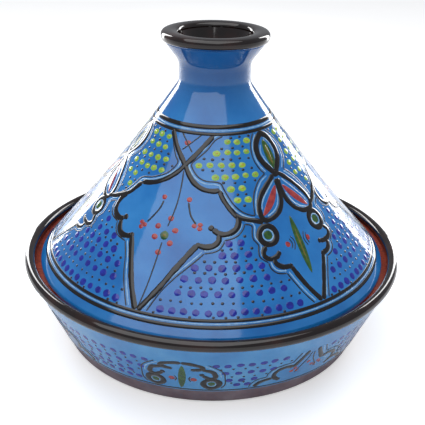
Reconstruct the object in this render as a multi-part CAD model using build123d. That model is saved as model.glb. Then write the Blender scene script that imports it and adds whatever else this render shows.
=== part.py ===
"""Tagine pot: a round earthenware cooking dish and its tall conical lid with an open cup on top.

Both pots are thrown forms, so every piece is a half section in (radius, height), revolved about Z.
Units are millimetres. Z = 0 is the floor the dish stands on, and Z is the wheel's axis.
The blue, dark brown and clear glazes are the thin coats that they are, on the bare clay.
Outside sizes include the glaze.
"""
from math import atan, cos
from build123d import *
import os

os.makedirs("parts", exist_ok=True)

# ---------------------------------------------------------------- dish
RIM_R = 152.0           # outside radius over the bead
BEAD_R = 4.0            # radius of the bead's round section
BEAD_Z = 67.2           # height of the bead's centre
WALL_INSET = 1.5        # how far the wall, carried up to the bead's centre, stays inside the bead
WALL_SPREAD = 28.5      # how much wider the wall is there than at the floor
WALL_T = 8.5            # wall, measured level
FOOT_ROUND = 4.0        # rounding of the wall into the foot
FOOT_RING_W = 18.0      # width of the ring that the dish stands on
FOOT_RECESS = 1.5       # depth of the turned recess inside that ring
FLOOR_T = 9.0           # floor above the recess
BOWL_ROUND = 16.0       # rounding between floor and wall inside
BARE_FOOT_H = 15.0      # height of the bare clay below the blue glaze
BEAD_GLAZE_H = 3.0      # how far the brown glaze reaches below the bead's centre

# ---------------------------------------------------------------- gallery that carries the lid
LEDGE_DROP = 5.8        # ledge below the bead's centre
LEDGE_W = 15.0          # width of the ledge
LEDGE_T = 4.0           # upright inner edge of the ledge
LEDGE_UNDERCUT = 9.0    # height over which the ledge runs back into the wall
LEDGE_ROUND = 1.5       # rounding of the ledge's inner edge
GALLERY_ROUND = 1.5     # rounding in the gallery's corner
GALLERY_SETBACK = 0.3   # how far the gallery wall stands back behind the bead
LID_CLEARANCE = 5.2     # level gap between the lid's edge and the gallery wall

# ---------------------------------------------------------------- lid
EDGE_H = 4.5            # upright edge of the lid above the ledge
EDGE_ROUND = 3.0        # rounding of that edge into the cone
FOOT_BEVEL = 1.2        # bevel round the lid's bare foot
CONE_H = 139.5          # height of the cone, from the upright edge to where it would meet the throat
CONE_T = 6.5            # cone wall, measured square to it
CONE_SAG = 3.0          # hollow of the cone's outline against a straight line
CAP_T = 6.5             # clay that closes the cone under the cup
CAP_ROUND = 8.0         # rounding inside, where the cone closes
NECK_R = 27.3           # throat between cone and cup
NECK_ROUND = 11.0       # rounding of cone into throat

# ---------------------------------------------------------------- cup on top of the lid
LUTE_H = 4.5            # throat below the joint where the cup was luted to the cone
THROAT_H = 11.7         # straight throat above that joint
CUP_WALL_T = 6.3        # wall of the cup, measured level
FLARE_W = 10.7          # how far the flared wall leans out
FLARE_H = 14.2          # height of the flared wall
FLARE_ROUND = 12.0      # rounding of throat into the flared wall
LIP_OVERHANG = 2.5      # how far the rolled lip stands out beyond the flared wall
LIP_W = 12.6            # level width of the roll
LIP_H = 8.4             # height of the roll
LIP_CROWN = 1.2         # rise of the roll's top, and drop of its underside
LIP_ROUND = 2.7         # rounding of the roll's corners
LIP_GLAZE_H = 2.8       # how far the brown glaze reaches below the roll's centre

# ---------------------------------------------------------------- glaze
GLAZE_T = 0.45          # one coat

# ---------------------------------------------------------------- sizes that follow
FAR = 1000.0
BEAD_CENTRE_R = RIM_R - BEAD_R
WALL_TOP_R = RIM_R - WALL_INSET
FOOT_R = WALL_TOP_R - WALL_SPREAD
FOOT_RING_R = FOOT_R - FOOT_RING_W
WALL_LEAN = WALL_SPREAD / BEAD_Z
FLOOR_Z = FOOT_RECESS + FLOOR_T
GALLERY_R = BEAD_CENTRE_R - BEAD_R + GLAZE_T + GALLERY_SETBACK
LEDGE_IN_R = GALLERY_R - LEDGE_W
LEDGE_Z = BEAD_Z - LEDGE_DROP
LID_R = GALLERY_R - LID_CLEARANCE
EDGE_Z = LEDGE_Z + EDGE_H
NECK_Z = EDGE_Z + CONE_H
CONE_LEAN = (LID_R - NECK_R) / CONE_H
CONE_LEVEL_T = CONE_T / cos(atan(CONE_LEAN))
CUP_Z = NECK_Z + LUTE_H
CUP_IN_R = NECK_R - CUP_WALL_T
FLARE_Z = CUP_Z + THROAT_H
FLARE_TOP_R = NECK_R + FLARE_W
LIP_R = FLARE_TOP_R + LIP_OVERHANG
LIP_CENTRE_R = LIP_R - LIP_W / 2
LIP_IN_R = LIP_R - LIP_W
LIP_Z = FLARE_Z + FLARE_H + LIP_H / 2


def levels(z_low, z_high, r_low=0.0):
    """Everything between two heights, from a radius outwards."""
    return Pos(r_low + FAR / 2, (z_low + z_high) / 2) * Rectangle(FAR, z_high - z_low)


def rounded(face, point, radius):
    """Round the corner of a section that lies nearest to a point."""
    corner = face.vertices().sort_by_distance(Vector(*point))[0]
    return fillet(corner, radius)


def coat(clay):
    """The coat of glaze all over a section of clay, to be cut to where it was poured."""
    return offset(clay, GLAZE_T) - clay


def turned(face):
    """Revolve a half section about the wheel's axis."""
    return revolve(Plane.XZ * face, Axis.Z)


def inner_wall_r(z):
    """Inside radius of the dish's wall at a height."""
    return FOOT_R + WALL_LEAN * z - WALL_T


def mid_wall_r(z):
    """Radius of the middle of the dish's wall at a height."""
    return FOOT_R + WALL_LEAN * z - WALL_T / 2


def dish_section():
    """Bare clay of the dish: turned foot, leaning wall, beaded rim and the lid's gallery."""
    under = LEDGE_Z - LEDGE_T
    back = under - LEDGE_UNDERCUT
    points = [
        (0, FOOT_RECESS),
        (FOOT_RING_R, FOOT_RECESS),
        (FOOT_RING_R + FOOT_RECESS, 0),
        (FOOT_R - GLAZE_T, 0),
        (WALL_TOP_R - GLAZE_T, BEAD_Z),
        (GALLERY_R, BEAD_Z),
        (GALLERY_R, LEDGE_Z),
        (LEDGE_IN_R, LEDGE_Z),
        (LEDGE_IN_R, under),
        (inner_wall_r(back), back),
        (inner_wall_r(FLOOR_Z), FLOOR_Z),
        (0, FLOOR_Z),
    ]
    face = Polygon(*points, align=None)
    face = rounded(face, points[3], FOOT_ROUND)
    face = rounded(face, points[6], GALLERY_ROUND)
    face = rounded(face, points[7], LEDGE_ROUND)
    face = rounded(face, points[8], LEDGE_UNDERCUT / 2)
    face = rounded(face, points[9], LEDGE_UNDERCUT / 2)
    face = rounded(face, points[10], BOWL_ROUND)
    return face + Pos(BEAD_CENTRE_R, BEAD_Z) * Circle(BEAD_R - GLAZE_T)


def cone_outline():
    """Outside of the cone in bare clay, filled to the axis, from its foot up to the cup."""
    rim = LID_R - GLAZE_T
    neck = NECK_R - GLAZE_T
    edges = [
        Line((0, LEDGE_Z), (rim, LEDGE_Z)),
        Line((rim, LEDGE_Z), (rim, EDGE_Z)),
        SagittaArc((rim, EDGE_Z), (neck, NECK_Z), CONE_SAG),
        Line((neck, NECK_Z), (neck, CUP_Z)),
        Line((neck, CUP_Z), (0, CUP_Z)),
        Line((0, CUP_Z), (0, LEDGE_Z)),
    ]
    face = make_face(edges)
    face = rounded(face, (rim, EDGE_Z), EDGE_ROUND)
    return rounded(face, (neck, NECK_Z), NECK_ROUND)


def cone_hollow():
    """Space inside the cone, parallel to its outside, with a rounded top under the cup."""
    rim = LID_R - CONE_LEVEL_T
    top = CUP_Z - CAP_T
    top_r = NECK_R - CONE_LEVEL_T + CONE_LEAN * (NECK_Z - top)
    edges = [
        Line((0, LEDGE_Z), (rim, LEDGE_Z)),
        Line((rim, LEDGE_Z), (rim, EDGE_Z)),
        SagittaArc((rim, EDGE_Z), (top_r, top), CONE_SAG),
        Line((top_r, top), (0, top)),
        Line((0, top), (0, LEDGE_Z)),
    ]
    face = rounded(make_face(edges), (rim, EDGE_Z), EDGE_ROUND)
    return rounded(face, (top_r, top), CAP_ROUND)


def bevelled_foot(cone):
    """Bevel the outer edge of the lid's foot."""
    corner = cone.vertices().sort_by_distance(Vector(LID_R, LEDGE_Z))[0]
    return chamfer(corner, FOOT_BEVEL)


def cup_outline():
    """Outside of the cup in bare clay, filled to the axis, without its lip."""
    neck = NECK_R - GLAZE_T
    points = [
        (0, CUP_Z),
        (neck, CUP_Z),
        (neck, FLARE_Z),
        (FLARE_TOP_R - GLAZE_T, LIP_Z - LIP_H / 2),
        (LIP_CENTRE_R, LIP_Z),
        (0, LIP_Z),
    ]
    return rounded(Polygon(*points, align=None), points[2], FLARE_ROUND)


def cup_hollow():
    """Space inside the cup, down to the cone's cap."""
    points = [
        (0, CUP_Z),
        (CUP_IN_R, CUP_Z),
        (CUP_IN_R, FLARE_Z),
        (LIP_IN_R + GLAZE_T, LIP_Z),
        (LIP_IN_R + GLAZE_T, FAR),
        (0, FAR),
    ]
    return rounded(Polygon(*points, align=None), points[2], FLARE_ROUND)


def lip_roll():
    """Section of the rolled lip in bare clay: crowned above and below, well rounded at its corners."""
    half_w = LIP_W / 2 - GLAZE_T
    side = LIP_H / 2 - GLAZE_T - LIP_CROWN
    edges = [
        SagittaArc((-half_w, side), (half_w, side), LIP_CROWN),
        Line((half_w, side), (half_w, -side)),
        SagittaArc((half_w, -side), (-half_w, -side), LIP_CROWN),
        Line((-half_w, -side), (-half_w, side)),
    ]
    face = make_face(edges)
    return Pos(LIP_CENTRE_R, LIP_Z) * fillet(face.vertices(), LIP_ROUND)


def dish_parts():
    """The dish, and the glaze on its wall, on its bead and in its bowl."""
    clay = dish_section()
    glaze = coat(clay)
    bead_edge = BEAD_Z - BEAD_GLAZE_H
    bowl_edge = LEDGE_Z - LEDGE_ROUND
    low = FLOOR_Z - FLOOR_T / 2
    inside = Polygon((0, low), (mid_wall_r(low), low), (mid_wall_r(bowl_edge), bowl_edge), (0, bowl_edge),
                     align=None)
    wall = Line((FOOT_R - GLAZE_T, 0), (WALL_TOP_R - GLAZE_T, BEAD_Z))
    outside = make_face(offset(wall, 2 * GLAZE_T).edges())
    return {
        "dish_body": clay,
        "dish_wall_glaze": glaze & outside & levels(BARE_FOOT_H, bead_edge),
        "dish_bead_glaze": glaze & levels(bead_edge, FAR),
        "dish_bowl_glaze": glaze & inside,
    }


def lid_parts():
    """The cone, the cup luted on top of it, and the glaze on each."""
    cup = cup_outline() - cup_hollow() + lip_roll()
    cone = cone_outline() - cone_hollow()
    glaze_edge = LEDGE_Z + 2 * FOOT_BEVEL
    lip_edge = LIP_Z - LIP_GLAZE_H
    on_cone = coat(cone_outline()) & levels(glaze_edge, CUP_Z, CUP_IN_R)
    on_cup = coat(cup) & levels(CUP_Z, lip_edge, CUP_IN_R)
    in_cup = coat(cup) & cup_hollow() & levels(CUP_Z, lip_edge)
    on_lip = coat(cup) & levels(lip_edge, FAR)
    on_cap = Pos(CUP_IN_R / 2, CUP_Z + GLAZE_T / 2) * Rectangle(CUP_IN_R, GLAZE_T)
    return {
        "lid_cone": bevelled_foot(cone),
        "lid_cup": cup,
        "lid_glaze": on_cone + (on_cup - cup_hollow()),
        "cup_glaze": on_cap + in_cup + on_lip,
    }


for name, half in {**dish_parts(), **lid_parts()}.items():
    piece = turned(half)
    assert len(piece.solids()) == 1 and piece.is_valid, name
    export_step(piece, f"parts/{name}.step")
    print(name, len(piece.faces()), "faces", round(piece.volume / 1000, 1), "cm3")
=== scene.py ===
import random
from math import cos, hypot, pi, radians, sin, sqrt

import bpy
import numpy as np
from mathutils import Matrix, Vector
from mathutils.bvhtree import BVHTree


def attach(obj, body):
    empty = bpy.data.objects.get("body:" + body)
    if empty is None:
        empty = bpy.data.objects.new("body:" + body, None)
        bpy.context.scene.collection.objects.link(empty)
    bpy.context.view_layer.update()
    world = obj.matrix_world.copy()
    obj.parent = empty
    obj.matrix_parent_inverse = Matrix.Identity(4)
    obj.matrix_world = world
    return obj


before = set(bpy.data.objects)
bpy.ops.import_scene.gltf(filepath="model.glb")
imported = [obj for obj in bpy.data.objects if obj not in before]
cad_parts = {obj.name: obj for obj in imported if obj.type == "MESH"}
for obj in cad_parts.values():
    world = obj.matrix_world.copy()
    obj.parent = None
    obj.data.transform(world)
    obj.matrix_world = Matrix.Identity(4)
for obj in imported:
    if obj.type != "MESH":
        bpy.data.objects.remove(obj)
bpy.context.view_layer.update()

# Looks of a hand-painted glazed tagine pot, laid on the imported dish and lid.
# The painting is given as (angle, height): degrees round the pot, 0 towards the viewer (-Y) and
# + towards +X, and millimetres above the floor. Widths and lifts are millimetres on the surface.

MM = 0.001
rng = random.Random(7)

# ------------------------------------------------------------------ heights of paint above the glaze
EDGE_DIP = -0.03        # edge of a stroke, just under the glaze
LIFT_DOT = 0.05
LIFT_MARK = 0.08        # small marks on top of dots
LIFT_LIGHT = 0.06
LIFT_THIN = 0.08
LIFT_THICK = 0.11
# Sections, as shares of the half width and of the lift. None is the edge, under the glaze.
STROKE_SECTION = ((-1, None), (-0.92, 0.92), (0, 1), (0.92, 0.92), (1, None))
DOT_SECTION = ((0.9, 0.92), (1.0, None))

# ------------------------------------------------------------------ widths of the brush lines
THICK_W = 3.8
HEAVY_W = 4.3
LIGHT_W = 1.0
THIN_W = 1.0
EYE_W = 4.4
LIGHT_GAP = 1.9         # from a ground's thin border out to the light line beside it
STEP = 1.3              # spacing of points along a stroke
FINE_STEP = 0.7
BAND_STEP = 3           # degrees between the points given for a band, and millimetres between its samples
RING_POINTS = 10
BLUNT_END = 0.06        # how blunt a line ends: the square of its last share of the width
LEAF_TAPER = 0.75       # power of the sine that narrows a leaf to its ends

# ------------------------------------------------------------------ how a hand sets its dabs
JITTER_ROUND = 0.5      # how far a dab may lie off its place, round the pot and up it
JITTER_UP = 0.4
CORE_SHIFT = 0.2        # a dab's core: its shift from the middle, and its share of the dab
CORE_W = 0.42
CORE_H = 0.36
CORE_SIDES = 8

LID_REPEATS = [0, 120, 240]
DISH_PAIRS = [0, 85.6, 178.2, 270.8]    # not quite evenly spaced


def srgb(code):
    """Linear colour of a hex code."""
    parts = [int(code[i:i + 2], 16) / 255 for i in (1, 3, 5)]
    return tuple(c / 12.92 if c <= 0.04045 else ((c + 0.055) / 1.055) ** 2.4 for c in parts) + (1.0,)


# ================================================================== surfaces
class Turned:
    """Outside of a turned pot: radius against height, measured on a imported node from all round."""

    def __init__(self, node, low, high, step=1.0, directions=36):
        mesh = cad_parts[node].data
        tree = BVHTree.FromPolygons([v.co for v in mesh.vertices], [p.vertices for p in mesh.polygons])
        self.z = np.arange(low, high + step / 2, step)
        self.r = np.array([self.measure(tree, z, directions) for z in self.z])
        self.slope = np.gradient(self.r, self.z)

    @staticmethod
    def measure(tree, z, directions):
        best = 0.0
        for i in range(directions):
            way = Vector((sin(2 * pi * i / directions), -cos(2 * pi * i / directions), 0))
            hit = tree.ray_cast(way + Vector((0, 0, z * MM)), -way)[0]
            if hit is not None:
                best = max(best, hypot(hit.x, hit.y) / MM)
        return best

    def radius(self, z):
        return float(np.interp(z, self.z, self.r))

    def scale(self, z):
        """Millimetres on the surface for one degree round, and for one millimetre of height."""
        lean = float(np.interp(z, self.z, self.slope))
        return self.radius(z) * pi / 180, sqrt(1 + lean * lean)

    def point(self, phi, z, lift):
        """Place of a painted point, lifted square to the surface."""
        lean = float(np.interp(z, self.z, self.slope))
        size = sqrt(1 + lean * lean)
        r = self.radius(z) + lift / size
        h = z - lift * lean / size
        return (r * sin(radians(phi)) * MM, -r * cos(radians(phi)) * MM, h * MM)

    def shifted(self, phi, z, across, up):
        """(angle, height) moved by millimetres on the surface."""
        per_degree, per_height = self.scale(z)
        return phi + across / per_degree, z + up / per_height


def smooth(surface, points, step, closed=False):
    """A smooth curve through points, sampled evenly along the surface."""
    pts = [points[-1]] + points + points[:2] if closed else [points[0]] + points + [points[-1]]
    out = []
    for a, b, c, d in zip(pts, pts[1:], pts[2:], pts[3:]):
        per_degree, per_height = surface.scale((b[1] + c[1]) / 2)
        length = hypot((c[0] - b[0]) * per_degree, (c[1] - b[1]) * per_height)
        count = max(1, round(length / step))
        for i in range(count):
            t = i / count
            out.append(tuple(
                b[k] + 0.5 * t * (c[k] - a[k] + t * (2 * a[k] - 5 * b[k] + 4 * c[k] - d[k]
                                                     + t * (3 * (b[k] - c[k]) + d[k] - a[k])))
                for k in (0, 1)))
    if not closed:
        out.append(tuple(points[-1]))
    return out


# ================================================================== paint
class Paint:
    """All strokes and dots of one colour on one pot, gathered into one mesh."""

    def __init__(self, surface, lift):
        self.surface = surface
        self.lift = lift
        self.verts = []
        self.faces = []

    def height(self, rise):
        """Height above the glaze for a section's rise."""
        return EDGE_DIP if rise is None else self.lift * rise

    def wobble(self):
        """Slow uneven pressure of the brush along a stroke."""
        a, b = rng.uniform(0, 2 * pi), rng.uniform(0, 2 * pi)
        return lambda s: 1 + 0.06 * sin(s * 0.31 + a) + 0.04 * sin(s * 0.83 + b)

    def stroke(self, points, width, offset=0.0, closed=False, shape="line", step=STEP, turn=0.0):
        """A brush line through points.

        shape is line (rounded ends), leaf (pointed ends) or band (even, and meets itself).
        """
        surface = self.surface
        path = smooth(surface, points, step, closed)
        n = len(path)
        run = [0.0]
        sides = []
        for i in range(n):
            p = path[i - 1] if i or closed else path[i]
            q = path[(i + 1) % n] if i < n - 1 or closed else path[i]
            per_degree, per_height = surface.scale(path[i][1])
            du, dv = (q[0] - p[0]) * per_degree, (q[1] - p[1]) * per_height
            size = hypot(du, dv) or 1.0
            sides.append((-dv / size, du / size))
            run.append(run[-1] + size / 2)
        pressure = (lambda s: 1.0) if shape == "band" else self.wobble()
        first = len(self.verts)
        for i, (phi, z) in enumerate(path):
            half = width / 2 * pressure(run[i])
            if shape == "leaf":
                half = width / 2 * sin(pi * i / (n - 1)) ** LEAF_TAPER
            elif shape == "line" and not closed:
                near = min(run[i], run[-2] - run[i]) / (width / 2)
                if near < 1:
                    half *= sqrt(max(BLUNT_END, 1 - (1 - near) ** 2))
            for t, rise in STROKE_SECTION:
                d = offset + half * t
                a, h = surface.shifted(phi, z, sides[i][0] * d, sides[i][1] * d)
                self.verts.append(surface.point(a + turn, h, self.height(rise)))
        wide = len(STROKE_SECTION)
        for i in range(n if closed else n - 1):
            here = first + wide * i
            there = first + wide * ((i + 1) % n)
            for k in range(wide - 1):
                self.faces.append((here + k, here + k + 1, there + k + 1, there + k))

    def dot(self, phi, z, half_w, half_h, turn=0.0, sides=12):
        """A dab of the brush: a low rounded blob."""
        surface = self.surface
        first = len(self.verts)
        self.verts.append(surface.point(phi + turn, z, self.lift))
        bumps = [rng.uniform(0.93, 1.07) for _ in range(sides)]
        for share, rise in DOT_SECTION:
            for i in range(sides):
                angle = 2 * pi * i / sides
                a, h = surface.shifted(phi, z, share * half_w * bumps[i] * cos(angle),
                                       share * half_h * bumps[i] * sin(angle))
                self.verts.append(surface.point(a + turn, h, self.height(rise)))
        inner = first + 1
        outer = inner + sides
        for i in range(sides):
            j = (i + 1) % sides
            self.faces.append((first, inner + i, inner + j))
            self.faces.append((inner + i, outer + i, outer + j, inner + j))

    def ring(self, phi, z, radius, width, turn=0.0):
        """A painted circle."""
        points = []
        for i in range(RING_POINTS):
            a = 2 * pi * i / RING_POINTS
            points.append(self.surface.shifted(phi, z, radius * cos(a), radius * sin(a)))
        self.stroke(points, width, closed=True, step=FINE_STEP, turn=turn)

    def band(self, z_low, z_high):
        """A line turned right round the pot."""
        middle = (z_low + z_high) / 2
        width = (z_high - z_low) * self.surface.scale(middle)[1]
        points = [(a, middle) for a in range(-180, 181, BAND_STEP)]
        self.stroke(points, width, shape="band", step=BAND_STEP)

    def finish(self, name, body, slot, material):
        """Turn what was painted into a piece that rides its pot."""
        mesh = bpy.data.meshes.new(name)
        mesh.from_pydata(self.verts, [], self.faces)
        mesh.validate()
        mesh.shade_smooth()
        mesh.materials.append(material)
        piece = bpy.data.objects.new(name, mesh)
        bpy.context.scene.collection.objects.link(piece)
        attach(piece, body)


def inside(polygon, phi, z):
    """Whether a point lies inside a polygon of (angle, height)."""
    odd = False
    for (a, b), (c, d) in zip(polygon, polygon[1:] + polygon[:1]):
        if (b > z) != (d > z) and phi < a + (z - b) * (c - a) / (d - b):
            odd = not odd
    return odd


def clearance(surface, border, phi, z):
    """Distance on the surface from a point to a sampled border."""
    per_degree, per_height = surface.scale(z)
    return min(hypot((a - phi) * per_degree, (b - z) * per_height) for a, b in border)


def jittered(surface, phi, z):
    """A dab's place, a little off its row."""
    across = rng.uniform(-JITTER_ROUND, JITTER_ROUND)
    up = rng.uniform(-JITTER_UP, JITTER_UP)
    return surface.shifted(phi, z, across, up)


def eye(paints, phi, z, radius, light_radius, light_width, dab, turn):
    """A painted eye: a thick ring, a light ring in it, and a green dab."""
    paints["thick"].ring(phi, z, radius, EYE_W, turn)
    paints["light"].ring(phi, z, light_radius, light_width, turn)
    paints["green"].dot(phi, z, dab, dab, turn)


def ground(surface, paints, segments, rows, turns, light_side):
    """A dotted ground: its thin border, the light line outside it, and its rows of dots."""
    border = []
    for segment in segments:
        path = smooth(surface, segment, STEP)
        border += path
        for turn in turns:
            paints["thin"].stroke(segment, THIN_W, turn=turn)
            paints["light"].stroke(segment, LIGHT_W, offset=light_side * LIGHT_GAP, turn=turn)
    low = min(p[0] for p in border)
    high = max(p[0] for p in border)
    for z, pitch, start, (paint, half_w, half_h, margin, core) in rows:
        phi = start + pitch * round((low - start) / pitch - 1)
        for _ in range(int((high - low) / pitch) + 4):
            phi += pitch
            a, h = jittered(surface, phi, z)
            if not inside(border, a, h) or clearance(surface, border, a, h) < margin:
                continue
            grow = rng.uniform(0.9, 1.1)
            for turn in turns:
                paints[paint].dot(a, h, half_w * grow, half_h * grow, turn)
                if core:
                    paints[core].dot(a + CORE_SHIFT, h + CORE_SHIFT, half_w * CORE_W, half_h * CORE_H,
                                     turn, sides=CORE_SIDES)


# ================================================================== materials
# Noise scales are waves to a metre, and bump distances are metres.
WHITE = (1.0, 1.0, 1.0, 1.0)
GLASS_IOR = 1.52
SPECK_SCALE = 900.0
SPECK_TINT = (0.55, 0.55, 0.6, 1)
RIPPLE_SCALE = 120.0
BRUSH_SCALE = 330.0     # how a brushed colour thickens and thins
BRUSH_GRAIN = 500.0
GROG_SCALE = 420.0
NECK_PAINTED_SHADE = (0.185, 0.215, "#0A4588")      # heights between which the blue darkens as painted shade for dark surroundings reflected near the neck, and its dark
FOOT_GREYING = (0.020, 0.016)                  # heights between which the foot turns grey


def add(tree, kind, **inputs):
    """A shader node with its inputs set."""
    node = tree.nodes.new(kind)
    for name, value in inputs.items():
        node.inputs[name.replace("_", " ")].default_value = value
    return node


def ramp(tree, source, stops):
    """Colours along a value."""
    node = tree.nodes.new("ShaderNodeValToRGB")
    while len(node.color_ramp.elements) < len(stops):
        node.color_ramp.elements.new(0.5)
    for element, (place, colour) in zip(node.color_ramp.elements, stops):
        element.position = place
        element.color = colour
    tree.links.new(source, node.inputs["Fac"])
    return node.outputs["Color"]


def blank(name):
    """A material with a shader and object coordinates, ready to be wired."""
    material = bpy.data.materials.new(name)
    material.use_nodes = True
    tree = material.node_tree
    shader = tree.nodes["Principled BSDF"]
    place = tree.nodes.new("ShaderNodeTexCoord").outputs["Object"]
    return material, tree, shader, place


def noise(tree, place, scale, detail=3.0):
    """Cloudy noise from 0 to 1."""
    node = add(tree, "ShaderNodeTexNoise", Scale=scale, Detail=detail)
    tree.links.new(place, node.inputs["Vector"])
    return node.outputs["Fac"]


def bump(tree, shader, height, strength, distance):
    """Fine relief from a height."""
    node = add(tree, "ShaderNodeBump", Strength=strength, Distance=distance)
    tree.links.new(height, node.inputs["Height"])
    tree.links.new(node.outputs["Normal"], shader.inputs["Normal"])


def ranged(tree, value, low, high, start=0.0, end=1.0):
    """A value that runs from start to end, made to run from low to high."""
    node = add(tree, "ShaderNodeMapRange", From_Min=start, From_Max=end, To_Min=low, To_Max=high)
    tree.links.new(value, node.inputs["Value"])
    return node.outputs["Result"]


def height_share(tree, place, start, end):
    """0 to 1 as the height goes from start to end, in metres."""
    split = tree.nodes.new("ShaderNodeSeparateXYZ")
    tree.links.new(place, split.inputs["Vector"])
    return ranged(tree, split.outputs["Z"], 0.0, 1.0, start, end)


def varied_roughness(tree, shader, value, low, high):
    """Roughness that follows a value."""
    tree.links.new(ranged(tree, value, low, high), shader.inputs["Roughness"])


def gloss(shader, coat, coat_roughness):
    """The glassy skin of a fired glaze."""
    shader.inputs["IOR"].default_value = GLASS_IOR
    shader.inputs["Coat Weight"].default_value = coat
    shader.inputs["Coat Roughness"].default_value = coat_roughness


def mixed(tree, factor, first, second, blend="MIX"):
    """Two colours mixed by a factor. Each of the three is a value or another node's output."""
    node = tree.nodes.new("ShaderNodeMix")
    node.data_type = "RGBA"
    node.blend_type = blend
    for socket, value in (("Factor", factor), ("A", first), ("B", second)):
        kind = "VALUE" if socket == "Factor" else "RGBA"
        target = [s for s in node.inputs if s.name == socket and s.type == kind][0]
        if isinstance(value, (float, int, tuple)):
            target.default_value = value
        else:
            tree.links.new(value, target)
    return [s for s in node.outputs if s.type == "RGBA"][0]


def glaze(name, deep, main, pale, cloud=28.0, rough=(0.06, 0.13), painted_shade_by_height=None):
    """Glossy poured glaze: cloudy where it ran thick or thin, with fine ripples and pin specks."""
    material, tree, shader, place = blank(name)
    clouds = noise(tree, place, cloud, 4.0)
    colour = ramp(tree, clouds, [(0.3, srgb(deep)), (0.5, srgb(main)), (0.72, srgb(pale))])
    # Painted shade: the colour darkens between two heights, standing in for dark surroundings reflected
    # there.
    if painted_shade_by_height:
        start, end, dark = painted_shade_by_height
        shade = mixed(tree, 0.6, colour, srgb(dark))
        colour = mixed(tree, height_share(tree, place, start, end), colour, shade)
    specks = ramp(tree, noise(tree, place, SPECK_SCALE, 1.0), [(0.70, WHITE), (0.78, SPECK_TINT)])
    colour = mixed(tree, 0.5, colour, mixed(tree, 1.0, colour, specks, "MULTIPLY"))
    tree.links.new(colour, shader.inputs["Base Color"])
    varied_roughness(tree, shader, noise(tree, place, 160.0), rough[0], rough[1])
    bump(tree, shader, noise(tree, place, RIPPLE_SCALE, 2.0), 0.12, 0.0004)
    gloss(shader, 0.35, 0.04)
    return material


def paint_material(name, dark, main):
    """Brushed oxide colour under the same gloss: denser and thinner along the stroke."""
    material, tree, shader, place = blank(name)
    colour = ramp(tree, noise(tree, place, BRUSH_SCALE), [(0.35, srgb(dark)), (0.62, srgb(main))])
    tree.links.new(colour, shader.inputs["Base Color"])
    varied_roughness(tree, shader, noise(tree, place, 240.0), 0.08, 0.16)
    bump(tree, shader, noise(tree, place, BRUSH_GRAIN, 2.0), 0.08, 0.0002)
    gloss(shader, 0.3, 0.05)
    return material


def clay(name, foot=False):
    """Fired red earthenware with grog in it. The dish's foot turns grey towards the bottom."""
    material, tree, shader, place = blank(name)
    grain = noise(tree, place, GROG_SCALE, 4.0)
    colour = ramp(tree, grain, [(0.3, srgb("#6E2413")), (0.5, srgb("#A3391E")), (0.75, srgb("#BC5230"))])
    stains = ramp(tree, noise(tree, place, 22.0), [(0.35, (0.72, 0.7, 0.7, 1)), (0.6, WHITE)])
    colour = mixed(tree, 1.0, colour, stains, "MULTIPLY")
    if foot:
        foot_grey = ramp(tree, noise(tree, place, 60.0, 4.0), [(0.3, srgb("#66606C")), (0.7, srgb("#8C8890"))])
        foot_greyed = mixed(tree, 0.85, colour, foot_grey)
        colour = mixed(tree, height_share(tree, place, *FOOT_GREYING), colour, foot_greyed)
    tree.links.new(colour, shader.inputs["Base Color"])
    varied_roughness(tree, shader, grain, 0.55, 0.8)
    bump(tree, shader, grain, 0.35, 0.0004)
    return material


LID_BLUE = glaze("azure_glaze_lid", "#1468B4", "#1F7AC6", "#338AD2", painted_shade_by_height=NECK_PAINTED_SHADE)
DISH_BLUE = glaze("azure_glaze_dish", "#2C80C6", "#3F95D6", "#60ABE0")
BROWN = glaze("dark_brown_glaze", "#0B0504", "#170A08", "#2E1611", cloud=55.0, rough=(0.05, 0.11))
CLEAR = glaze("clear_glaze_on_clay", "#6B2614", "#8E3A20", "#A44C2C", cloud=40.0)
FINISH = {
    "lid_glaze": LID_BLUE,
    "dish_wall_glaze": DISH_BLUE,
    "dish_bead_glaze": BROWN,
    "cup_glaze": BROWN,
    "dish_bowl_glaze": CLEAR,
    "lid_cone": clay("red_clay"),
    "lid_cup": clay("red_clay_cup"),
    "dish_body": clay("red_clay_dish", foot=True),
}
for node_name, material in FINISH.items():
    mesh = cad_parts[node_name].data
    mesh.materials.clear()
    mesh.materials.append(material)

# Each paint: its name, its dark and main colours, and its height above the glaze.
COLOURS = {
    "thick": ("outline_black", "#040509", "#120B0C", LIFT_THICK),
    "thin": ("line_black", "#0D1420", "#16202C", LIFT_THIN),
    "light": ("line_pale_blue", "#6FA6D8", "#97C2E4", LIFT_LIGHT),
    "cobalt": ("dot_cobalt", "#101C86", "#1A2CA6", LIFT_DOT),
    "black": ("dot_black", "#0D1830", "#14213C", LIFT_DOT),
    "lime": ("dot_lime", "#7FB548", "#A2C63F", LIFT_DOT),
    "amber": ("dot_amber", "#A9A03A", "#C0A63A", LIFT_MARK),
    "green": ("leaf_green", "#1F4A22", "#3A6322", LIFT_DOT),
    "olive": ("leaf_olive", "#5F6320", "#7A6A22", LIFT_MARK),
    "red": ("leaf_red", "#8E2C38", "#B2433F", LIFT_DOT),
}


def palette(surface):
    """One Paint of each colour for a pot."""
    return {key: Paint(surface, row[3]) for key, row in COLOURS.items()}


PAINTS = {key: paint_material(row[0], row[1], row[2]) for key, row in COLOURS.items()}

# ================================================================== the lid's painting
LID_LOW = 66
LID_HIGH = 210
lid = Turned("lid_glaze", LID_LOW, LID_HIGH)
lid_paints = palette(lid)

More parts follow.
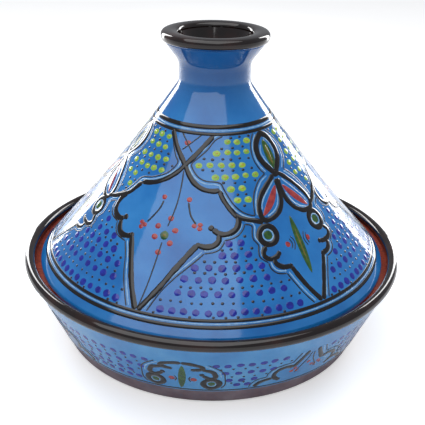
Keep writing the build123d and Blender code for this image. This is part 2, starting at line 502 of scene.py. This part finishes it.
# The large kite, its axis 21 degrees left of the viewer. Lines cross above it, below the neck's bands.
KITE_ARMS = [
    [(-38.9, 178.6), (-29.4, 169.5), (-22.8, 163.2), (-18.9, 159.1), (-15.6, 154.5), (-11.1, 149.5),
     (-5.6, 146.2), (0, 145.2), (4.2, 145.7)],
    [(0, 177.6), (-7.2, 171.4), (-13.3, 165.2), (-18.9, 159.1), (-22.8, 154.5), (-29.4, 149.1),
     (-36.1, 145.5), (-43.9, 143.6)],
]
KITE_SHOULDERS = [
    [(-43.9, 143.6), (-46.1, 140), (-48.9, 135.5), (-51.7, 133.2), (-55, 130.9), (-60, 128.2), (-64, 126.8)],
    [(4.2, 145.7), (5, 142.5), (7.2, 137.9), (10, 133.4), (12.5, 130.3), (16.7, 128.4), (20.6, 127.2),
     (24.5, 125.8)],
]
KITE_LOBES = [
    [(-49.7, 134.1), (-52.1, 131), (-52.8, 127), (-51.9, 123), (-49.4, 120.4), (-46.5, 119.5),
     (-43.7, 120.3)],
    [(-44.8, 119.4), (-44.0, 115.9), (-42.4, 113.2), (-40, 111.9), (-37.5, 112.3), (-35.6, 113.5)],
    [(12.4, 130.2), (12.5, 127), (11.1, 123.8), (8.7, 121.8), (6.0, 120.9), (3.0, 121.6), (0.6, 123.8)],
    [(2.9, 121), (3.2, 118), (1.9, 115.6), (0, 114.3), (-2.8, 113.9), (-5.4, 114.8)],
]
KITE_SIDES = [
    [(-35.4, 113.2), (-31.7, 102.3), (-27.8, 89.5), (-23.4, 76.6)],
    [(-5.6, 115), (-8.9, 109.5), (-13.3, 100.5), (-18.3, 87.7), (-22.6, 76.6)],
]
KITE_BLOBS = [(-43.1, 121.6, 2.3), (-0.2, 124.4, 2.2), (-35.6, 113.4, 2.2), (-5.4, 114.7, 2.1)]
KITE_STEM = [
    [(-18.9, 156), (-18.2, 147), (-18.2, 138), (-18.9, 131), (-20.2, 123)],
    [(-20.8, 114), (-21.2, 103), (-21.8, 90), (-22.7, 78)],
]
KITE_TOP_LINES = [[(-28.5, 178.2), (-22, 173), (-15.8, 167)], [(-10, 178.2), (-18, 172.6), (-24.2, 167.8)]]
KITE_DOTS = [(-19.5, 127.8), (-24.7, 122.4), (-16.2, 121.5), (-24.8, 116.2), (-17.4, 114.2), (-21.3, 108.3)]
KITE_DAB = (2.3, 2.1)                       # half width and half height of a dab
KITE_HEART = (-20.6, 118)
HEART_GREEN = (3.2, 3.3)
HEART_OLIVE = (1.5, 1.4)
KITE_CROWN = (-21, 172.4)
CROWN_DAB = (2.6, 2.0)
COMMA_W = 1.3
COMMA_HEAD = (2.0, 1.9)
COMMA_TIP = (1.9, 1.7)
# Each comma: its head, its tail, and the dabs at its tip.
KITE_COMMAS = [
    ((-26.1, 139), [(-25.8, 137), (-26.9, 131.5), (-30.7, 123)],
     [(-31.4, 121.2), (-33.2, 122.2), (-32.9, 119.6)]),
    ((-12.1, 139.6), [(-12.3, 138), (-10.3, 131), (-7.2, 126.2)],
     [(-8, 125.2), (-5.3, 126), (-5.4, 123.8)]),
]

# The flower of three petals on a small kite, its axis 40 degrees right of the viewer.
LOOP = [(44.4, 175.8), (38.6, 173.4), (34.8, 169), (34.2, 164), (36, 159), (39.4, 154.6), (42.3, 151.6),
        (46, 154.6), (50.6, 159.5), (52.9, 165), (52, 170.5), (49.2, 174.2)]
LOOP_W = 4.8
LOOP_LEAF = [(43.9, 172.4), (44, 163), (43.6, 153)]
LOOP_LEAF_W = 7.6
LOOP_VEIN = [(43.9, 169), (43.6, 156.5)]
LOOP_VEIN_W = 2.6
LOOP_LIGHT = [
    [(39.8, 169.5), (37.3, 165), (39.2, 158.6), (42, 154.4)],
    [(45.2, 173.4), (48.6, 170.4), (50.0, 165), (48.2, 159), (44.8, 154.8)],
]
FLOWER_KNOT = (42.2, 151.2)
KNOT_DAB = (3.4, 3.0)
PETAL_W = 4.0
PETALS = [
    [(40, 150.8), (33.3, 146.2), (27.8, 141.4), (24.6, 136), (24.0, 130.5), (25.6, 126.6), (30, 127),
     (34.6, 129.8), (38.3, 135), (39.8, 141.4), (40.6, 148)],
    [(44.2, 151), (48.9, 146.8), (53.3, 141.4), (57, 134.6), (58.0, 129), (56, 125.2), (51.8, 124.8),
     (48.2, 126.2), (44.4, 129.8), (42, 135.4), (41.6, 141.4), (42, 148)],
]
PETAL_RED = [[(38.3, 144.6), (31.9, 136.2), (25.4, 129)], [(43.4, 143.6), (48.6, 135.4), (54.6, 127)]]
PETAL_RED_W = 5.4
PETAL_LIGHT = [
    [(38.6, 147.8), (32.6, 143.2), (27.4, 137.6), (25.6, 132.6)],
    [(27.6, 128.4), (33, 131.4), (36.4, 136), (38.4, 142.4)],
    [(44.8, 147.2), (49.8, 140.4), (54, 133.4), (55.6, 128.2)],
    [(43.6, 139), (45, 133.4), (48.4, 128.8), (52.4, 126.6)],
]
EYES = [(25, 118.2), (54, 117.8)]
LID_EYE = (6.7, 4.1, 0.9, 3.4)              # ring, light ring, its width, and the dab
SMALL_KITE = [
    [(22.8, 112.4), (21.1, 109.6), (21.3, 106.9), (23.2, 105.2), (26, 105.7), (27.2, 106.8)],
    [(24.6, 105), (25.3, 101.8), (27.6, 99.6), (30.7, 99.2)],
    [(30.8, 99), (33.9, 87.7), (37.5, 76.9)],
    [(56, 112.2), (57.8, 109.6), (57.4, 106.9), (55.2, 105.3), (52, 105.1), (49.6, 105.9)],
    [(53.6, 105), (52.8, 101.6), (50.6, 99.6), (47.6, 99.3)],
    [(47.6, 99), (42.8, 88.4), (38.2, 76.9)],
]
SMALL_KITE_BLOBS = [(27.4, 107.2, 2.0), (49.3, 106.1, 1.9), (30.7, 99, 2.1), (47.6, 99.1, 2.1)]
SMALL_KITE_LEAF = [(39.4, 125.6), (38.9, 109), (38.3, 92)]
SMALL_KITE_LEAF_W = 6.4
SMALL_KITE_VEIN = [(39.2, 118), (38.6, 99)]
SMALL_KITE_VEIN_W = 1.6
SMALL_KITE_DOTS = [(32.8, 110.8), (43.9, 110.8)]
SMALL_KITE_DAB = (2.1, 2.1)
ARC_W = 0.8
SMALL_KITE_ARCS = [
    [(35.2, 115), (36.4, 111), (35, 106.8)], [(34.2, 113.6), (35, 110.6), (34, 107.8)],
    [(43, 115), (41.6, 111), (42.4, 106.6)], [(44, 113.8), (43, 111), (43.6, 107.6)],
]

# A kind of dab: its paint, half width, half height, least distance from the border, and its core's paint.
LIME = ("lime", 2.7, 2.2, 3.2, "amber")
COBALT = ("cobalt", 2.8, 2.6, 2.6, None)
SPECK = ("black", 1.15, 1.0, 1.7, None)
# A row of dabs: its height, the degrees between dabs, the angle of one of them, and their kind.
UPPER_ROWS = [
    (173.8, 8.6, 11.2, LIME), (167.4, 7.8, 10.4, LIME), (160, 7.3, 12.8, LIME), (153.4, 6.5, 8, LIME),
    (146.3, 6.2, 10.6, LIME), (139.4, 5.9, 13.8, LIME), (133.4, 5.5, 16.2, LIME),
    (176.3, 8.4, 14.4, SPECK), (170.3, 8.2, 15, SPECK), (163.6, 6.6, 13, SPECK), (157, 6.6, 13.2, SPECK),
    (149.8, 6.4, 13.2, SPECK), (142.6, 5, 14, SPECK), (136.4, 4.5, 17, SPECK),
]
LOWER_ROWS = [
    (79.4, 3.72, 6.8, COBALT), (88.8, 4.55, 7.2, COBALT), (96.3, 4.9, 10.2, COBALT),
    (102.8, 5.0, 9.2, COBALT), (109.3, 5.1, 9.4, COBALT), (116, 5.0, 7.4, COBALT), (122.6, 4.6, 15, COBALT),
    (77, 3.7, 8.6, SPECK), (84.2, 3.3, 7.2, SPECK), (92.2, 3.5, 7.2, SPECK), (99.8, 3.6, 8.6, SPECK),
    (106, 3.9, 9.4, SPECK), (112.6, 4.0, 8.2, SPECK), (119.4, 4.2, 10, SPECK),
]
# A dotted ground: its border in runs, its rows, and the side of the border that the light line is on.
GROUNDS = [
    # right of the large kite, above the link arc
    ([[(8, 177.4), (3.3, 175.9), (0, 173.9), (-4.4, 169.3), (-9.8, 164.8), (-14.4, 160.4), (-12.9, 157),
       (-8.9, 153), (-4, 150.9), (2, 150.5), (5, 149.4), (6.3, 146.6), (8.9, 141.4), (11.3, 137.1),
       (14.6, 133.3), (18.3, 130.9), (21.2, 130)],
      [(21.2, 130), (21.3, 133), (22, 138), (24.1, 143.8), (28.7, 149.6), (34.2, 152.5)],
      [(34.2, 152.5), (31.3, 156.6), (29.4, 162), (29.6, 167.4), (31.6, 172.4), (36.5, 177.4)]],
     UPPER_ROWS, -1),
    # right of the flower, above the link arc
    ([[(51.5, 177.4), (56.4, 173.4), (59, 168.6), (59, 163.6), (56.8, 158), (50.9, 151.8)],
      [(50.9, 151.8), (54.6, 148.2), (58.4, 142.4), (60.4, 136), (61.2, 130.2)],
      [(61.2, 130.2), (65, 132.8), (68.4, 136.6), (71.1, 141.4), (73.3, 145.3), (76, 146.9), (80.6, 148),
       (86, 150.4), (91, 153.4), (95.4, 159.6), (92.4, 163.6), (88.3, 168.6), (83.9, 174.4), (80.4, 177.4)]],
     UPPER_ROWS, -1),
    # right of the large kite, below the link arc
    ([[(-19.7, 77), (-16.7, 87.7), (-12.8, 96), (-8.3, 102.8), (-4.8, 107.6), (-2.8, 110.4)],
      [(-2.8, 110.4), (0.8, 111.2), (3.4, 112.9), (5.2, 116.2), (5.4, 117.6)],
      [(5.4, 117.6), (8.9, 118.5), (12, 120.4), (14.2, 123.4), (15.2, 126)],
      [(15.2, 126), (18.4, 124.6), (18.0, 121), (17.9, 117.4), (19.6, 113.6), (19.2, 110.4), (19.3, 106.8),
       (22.1, 103.4)],
      [(22.1, 103.4), (22.6, 100), (24.6, 97), (28.2, 95.8)],
      [(28.2, 95.8), (31.7, 84.3), (34.4, 77)]],
     LOWER_ROWS, 1),
    # right of the flower, below the link arc
    ([[(40.6, 77), (44.4, 87.2), (49, 96.6)],
      [(49, 96.6), (52.2, 97.2), (54.9, 99.6), (55.8, 103)],
      [(55.8, 103), (59.2, 106.2), (59.9, 109.6), (59.4, 112.8), (61.2, 116), (61.6, 120), (61.2, 124.4),
       (65.2, 127.2)],
      [(65.2, 127.2), (65.4, 123), (68, 119.2), (73.6, 117.2)],
      [(73.6, 117.2), (74.6, 113.8), (77.4, 110.6), (82.6, 109.2)],
      [(82.6, 109.2), (85.6, 102), (88.6, 91), (93.4, 77)]],
     LOWER_ROWS, 1),
]
LID_BANDS = [(181.6, 184.3), (177.6, 179.7), (74.7, 76.5), (71.2, 73.2)]
LID_LIGHT_BANDS = [(180.2, 181.1), (73.6, 74.3)]


def paint_large_kite(turn):
    """The large kite and what is in it, and the blobs of both kites."""
    thick = lid_paints["thick"]
    thin = lid_paints["thin"]
    red = lid_paints["red"]
    for line in KITE_ARMS + KITE_SHOULDERS:
        thick.stroke(line, THICK_W, turn=turn)
    for line in KITE_LOBES + KITE_SIDES:
        thick.stroke(line, HEAVY_W, turn=turn, step=FINE_STEP)
    for phi, z, size in KITE_BLOBS + SMALL_KITE_BLOBS:
        thick.dot(phi, z, size, size, turn)
    for line in KITE_STEM + KITE_TOP_LINES:
        thin.stroke(line, THIN_W, turn=turn)
    for place in KITE_DOTS:
        red.dot(*place, *KITE_DAB, turn)
    for head, tail, tip in KITE_COMMAS:
        red.dot(*head, *COMMA_HEAD, turn)
        thin.stroke(tail, COMMA_W, turn=turn)
        for place in tip:
            red.dot(*place, *COMMA_TIP, turn)
    lid_paints["green"].dot(*KITE_HEART, *HEART_GREEN, turn)
    lid_paints["olive"].dot(*KITE_HEART, *HEART_OLIVE, turn)
    red.dot(*KITE_CROWN, *CROWN_DAB, turn)


def paint_flower(turn):
    """The loop and the two petals, tied by a knot."""
    thick = lid_paints["thick"]
    thick.stroke(LOOP, LOOP_W, closed=True, turn=turn, step=FINE_STEP)
    thick.dot(*FLOWER_KNOT, *KNOT_DAB, turn)
    for line in PETALS:
        thick.stroke(line, PETAL_W, turn=turn, step=FINE_STEP)
    for line in LOOP_LIGHT + PETAL_LIGHT:
        lid_paints["light"].stroke(line, LIGHT_W, turn=turn)
    lid_paints["green"].stroke(LOOP_LEAF, LOOP_LEAF_W, shape="leaf", turn=turn)
    lid_paints["olive"].stroke(LOOP_VEIN, LOOP_VEIN_W, shape="leaf", turn=turn)
    for line in PETAL_RED:
        lid_paints["red"].stroke(line, PETAL_RED_W, shape="leaf", turn=turn)


def paint_small_kite(turn):
    """The small kite under the flower, between its two eyes."""
    for place in EYES:
        eye(lid_paints, *place, *LID_EYE, turn)
    for line in SMALL_KITE:
        lid_paints["thick"].stroke(line, THICK_W, turn=turn, step=FINE_STEP)
    lid_paints["green"].stroke(SMALL_KITE_LEAF, SMALL_KITE_LEAF_W, shape="leaf", turn=turn)
    lid_paints["olive"].stroke(SMALL_KITE_VEIN, SMALL_KITE_VEIN_W, shape="leaf", turn=turn)
    for place in SMALL_KITE_DOTS:
        lid_paints["red"].dot(*place, *SMALL_KITE_DAB, turn)
    for line in SMALL_KITE_ARCS:
        lid_paints["thin"].stroke(line, ARC_W, turn=turn)


for segments, rows, side in GROUNDS:
    ground(lid, lid_paints, segments, rows, LID_REPEATS, side)
for key, bands in (("thick", LID_BANDS), ("light", LID_LIGHT_BANDS)):
    for z_low, z_high in bands:
        lid_paints[key].band(z_low, z_high)
for turn in LID_REPEATS:
    paint_large_kite(turn)
    paint_flower(turn)
    paint_small_kite(turn)

# ================================================================== the dish's painting
DISH_LOW = 15.5
DISH_HIGH = 62.5
dish = Turned("dish_wall_glaze", DISH_LOW, DISH_HIGH)
dish_paints = palette(dish)


def mirrored(lines, axis):
    """Lines and their mirror images about an upright axis."""
    return [list(line) for line in lines] + [[(2 * axis - a, z) for a, z in line] for line in lines]


# The small upturned kite, its axis 7.8 degrees left of the viewer, in left halves.
BUD_AXIS = -7.8
BUD = mirrored([
    [(-7.8, 48.4), (-10.6, 47.6), (-13.4, 45.2), (-13.8, 42.4), (-11.4, 41)],
    [(-13.6, 41.6), (-16.4, 39.6), (-17.3, 36.4), (-17.5, 32.6), (-15.8, 31.2), (-13.8, 34.4)],
], BUD_AXIS)
BUD_LIGHT = mirrored([[(-14.6, 46.4), (-17.2, 42), (-18.9, 37.4), (-19.2, 32.6)]], BUD_AXIS)
BUD_THIN = mirrored([
    [(-15.4, 47.4), (-18.2, 42.6), (-20, 37.4), (-20.4, 31), (-20.6, 24), (-19.4, 19)],
], BUD_AXIS)
BUD_ARCS = mirrored([[(-10.2, 32.4), (-9.7, 29.2), (-10.2, 26)]], BUD_AXIS)
BUD_LEAF = [(-7.6, 45), (-7.9, 32), (-8.5, 18)]
BUD_LEAF_W = 5.6
BUD_EYE_OUT = 8.6                           # how far the eyes and the red dabs are from the axis
BUD_EYE_Z = 24.4
BUD_DAB_OUT = 3.3
BUD_DAB_Z = 29
BUD_DAB = (2.3, 2.5)
DISH_EYE = (5.6, 3.4, 0.8, 2.7)             # ring, light ring, its width, and the dab

# The large upturned kite, its axis 31.3 degrees right of the viewer, in left halves.
TENT_AXIS = 31.3
TENT = mirrored([
    [(29.6, 48.6), (28.6, 43.6), (27.3, 38), (26, 33)],
    [(26, 33.4), (23.6, 35.4), (21.3, 33.8), (20.1, 30), (20.3, 25.6), (21.6, 22.4)],
    [(19.8, 24.8), (17, 23.6), (15, 20.6), (14.7, 17.6)],
], TENT_AXIS)
TENT_LIGHT = mirrored([
    [(28, 48.6), (27, 43.6), (25.9, 38), (23.6, 37.2), (20.4, 35.6), (18.9, 31), (18.7, 27)],
    [(18.6, 26.6), (15.8, 25), (13.9, 21), (13.6, 18)],
], TENT_AXIS)
TENT_THIN = mirrored([
    [(27, 48.6), (26, 43.6), (25, 39.4), (22.6, 38.8), (19.5, 36.6), (17.9, 31.6), (17.7, 28)],
    [(17.8, 27.8), (14.8, 26.2), (13, 22), (12.6, 18)],
], TENT_AXIS)
TENT_SPRIGS = mirrored([[(30.9, 46), (30.2, 38), (28.6, 31), (27.4, 25)]], TENT_AXIS)
TENT_DAB = (1.7, 1.7)
TENT_DOTS = [
    (27, 30.6), (26, 28.2), (28, 27.4), (33.2, 29), (35.6, 30.6), (36.6, 28.2), (34.6, 27.4), (31.3, 34),
]

# Thick blobs on both kites: axis, distance from it, and height.
DISH_BLOBS = [(BUD_AXIS, 3.4, 41), (BUD_AXIS, 5.8, 35.4), (TENT_AXIS, 9.4, 22)]
BLOB_DAB = (1.9, 1.9)
FOOT_LINE = (15.8, 17.2)

# A kind of dab: its paint, half width and half height. Its rows are given as on the lid.
DISH_COBALT = ("cobalt", 2.7, 2.4)
DISH_SPECK = ("black", 0.95, 1.0)
DISH_ROWS = [
    (46.4, 3.35, 5.2, DISH_COBALT), (37.2, 3.6, 4.8, DISH_COBALT), (28.4, 3.8, 5.9, DISH_COBALT),
    (22.4, 3.4, 8.6, DISH_COBALT), (42, 3.5, 6.8, DISH_SPECK), (32.6, 3.5, 6.6, DISH_SPECK),
    (25.4, 3.4, 7, DISH_SPECK),
]

# Outlines that keep the dots off the two motifs: (height, half width in degrees).
BUD_OUT = [(15, 13), (24, 13.6), (33, 13.2), (40, 11.6), (45, 9), (49, 5.6)]
TENT_OUT = [(15, 19.6), (24, 18.4), (29, 14.6), (36, 12.8), (39, 7.6), (49, 5.4)]


def keep_out(axis, half_widths):
    """The outline round a motif at its axis, from rows of (height, half width)."""
    return [(axis - w, z) for z, w in half_widths] + [(axis + w, z) for z, w in reversed(half_widths)]


def dish_dots(outs):
    """Rows of dots between the motifs, all round the wall."""
    for z, pitch, start, (paint, half_w, half_h) in DISH_ROWS:
        count = round(360 / pitch)
        for i in range(count):
            phi, h = jittered(dish, start + 360 / count * i, z)
            phi = (phi + 180) % 360 - 180
            if not any(inside(out, phi + around, h) for out in outs for around in (-360, 0, 360)):
                dish_paints[paint].dot(phi, h, half_w, half_h)


def paint_pair(turn):
    """One small kite, the bud, and one large kite, the tent."""
    thick = dish_paints["thick"]
    red = dish_paints["red"]
    for line in BUD + TENT:
        thick.stroke(line, THICK_W, turn=turn, step=FINE_STEP)
    for line in BUD_LIGHT + TENT_LIGHT:
        dish_paints["light"].stroke(line, LIGHT_W, turn=turn)
    for line in BUD_THIN + TENT_THIN + BUD_ARCS + TENT_SPRIGS:
        dish_paints["thin"].stroke(line, THIN_W, turn=turn)
    for side in (-1, 1):
        eye(dish_paints, BUD_AXIS + side * BUD_EYE_OUT, BUD_EYE_Z, *DISH_EYE, turn)
        red.dot(BUD_AXIS + side * BUD_DAB_OUT, BUD_DAB_Z, *BUD_DAB, turn)
        for axis, out, z in DISH_BLOBS:
            thick.dot(axis + side * out, z, *BLOB_DAB, turn)
    dish_paints["green"].stroke(BUD_LEAF, BUD_LEAF_W, shape="leaf", turn=turn)
    for place in TENT_DOTS:
        red.dot(*place, *TENT_DAB, turn)


outs = []
for turn in DISH_PAIRS:
    paint_pair(turn)
    outs += [keep_out(BUD_AXIS + turn, BUD_OUT), keep_out(TENT_AXIS + turn, TENT_OUT)]
dish_dots(outs)
dish_paints["thin"].band(*FOOT_LINE)

for pot, paints in (("lid", lid_paints), ("dish", dish_paints)):
    for key, paint in paints.items():
        if paint.verts:
            paint.finish(f"{pot}_paint_{COLOURS[key][0]}", pot, "blue_glaze", PAINTS[key])

# ================================================================== floor, light and camera
FLOOR_R = 4.0
FLOOR_SIDES = 64
FLOOR_Z = -0.0002
FLOOR_GLOW = 0.45       # how much paler the floor looks to the camera than it is lit
WORLD_LIGHT = (0.30, 0.31, 0.33, 1.0)
LIGHTS = [              # name, place, target, width, height and power
    ("key_above", (-0.3, -0.5, 2.2), (0, 0, 0.1), 3.0, 3.0, 42),
    ("strip_left", (-0.75, 0.9, 0.45), (0, 0, 0.12), 0.3, 1.1, 8),
    ("strip_right", (0.75, 0.9, 0.45), (0, 0, 0.12), 0.3, 1.1, 8),
]
CAMERA_PLACE = (0.0003, -0.5540, 0.3536)
CAMERA_DOWN = 25.01     # degrees below level
CAMERA_ROLL = 1.12
CAMERA_LENS = 63.13


def make_floor():
    """A pale round floor, a little brighter to the camera."""
    mesh = bpy.data.meshes.new("floor")
    angles = [2 * pi * i / FLOOR_SIDES for i in range(FLOOR_SIDES)]
    rim = [(FLOOR_R * cos(a), FLOOR_R * sin(a), FLOOR_Z) for a in angles]
    mesh.from_pydata(rim, [], [tuple(range(FLOOR_SIDES))])
    floor = bpy.data.objects.new("floor", mesh)
    bpy.context.scene.collection.objects.link(floor)
    material, tree, shader, place = blank("pale_floor")
    tone = ramp(tree, noise(tree, place, 3.0), [(0.3, (0.86, 0.86, 0.86, 1)), (0.7, (0.9, 0.9, 0.9, 1))])
    tree.links.new(tone, shader.inputs["Base Color"])
    shader.inputs["Roughness"].default_value = 0.7
    shader.inputs["Emission Color"].default_value = WHITE
    path = tree.nodes.new("ShaderNodeLightPath")
    glow = ranged(tree, path.outputs["Is Camera Ray"], 0.0, FLOOR_GLOW)
    tree.links.new(glow, shader.inputs["Emission Strength"])
    mesh.materials.append(material)


def make_world():
    """Even pale surroundings: white to the camera, softer in the light that they give."""
    world = bpy.data.worlds.new("studio")
    world.use_nodes = True
    tree = world.node_tree
    back = tree.nodes["Background"]
    path = tree.nodes.new("ShaderNodeLightPath")
    colour = mixed(tree, path.outputs["Is Camera Ray"], WORLD_LIGHT, WHITE)
    tree.links.new(colour, back.inputs["Color"])
    bpy.context.scene.world = world


def soft_light(name, place, target, width, height, power):
    """A rectangular lamp that faces its target."""
    lamp = bpy.data.lights.new(name, "AREA")
    lamp.shape = "RECTANGLE"
    lamp.size = width
    lamp.size_y = height
    lamp.energy = power
    rig = bpy.data.objects.new(name, lamp)
    rig.location = place
    rig.rotation_euler = (Vector(target) - Vector(place)).to_track_quat("-Z", "Y").to_euler()
    bpy.context.scene.collection.objects.link(rig)


def make_camera():
    """The viewer's eye: half a metre in front, looking 25 degrees down, with a slight roll."""
    lens = bpy.data.cameras.new("camera")
    lens.sensor_width = 36.0
    lens.lens = CAMERA_LENS
    lens.clip_end = 20.0
    rig = bpy.data.objects.new("camera", lens)
    tilt = Matrix.Rotation(radians(90 - CAMERA_DOWN), 4, "X")
    roll = Matrix.Rotation(radians(CAMERA_ROLL), 4, "Z")
    rig.matrix_world = Matrix.Translation(CAMERA_PLACE) @ tilt @ roll
    bpy.context.scene.collection.objects.link(rig)
    bpy.context.scene.camera = rig


make_floor()
make_world()
for light in LIGHTS:
    soft_light(*light)
make_camera()
bpy.context.scene.view_settings.view_transform = "Standard"
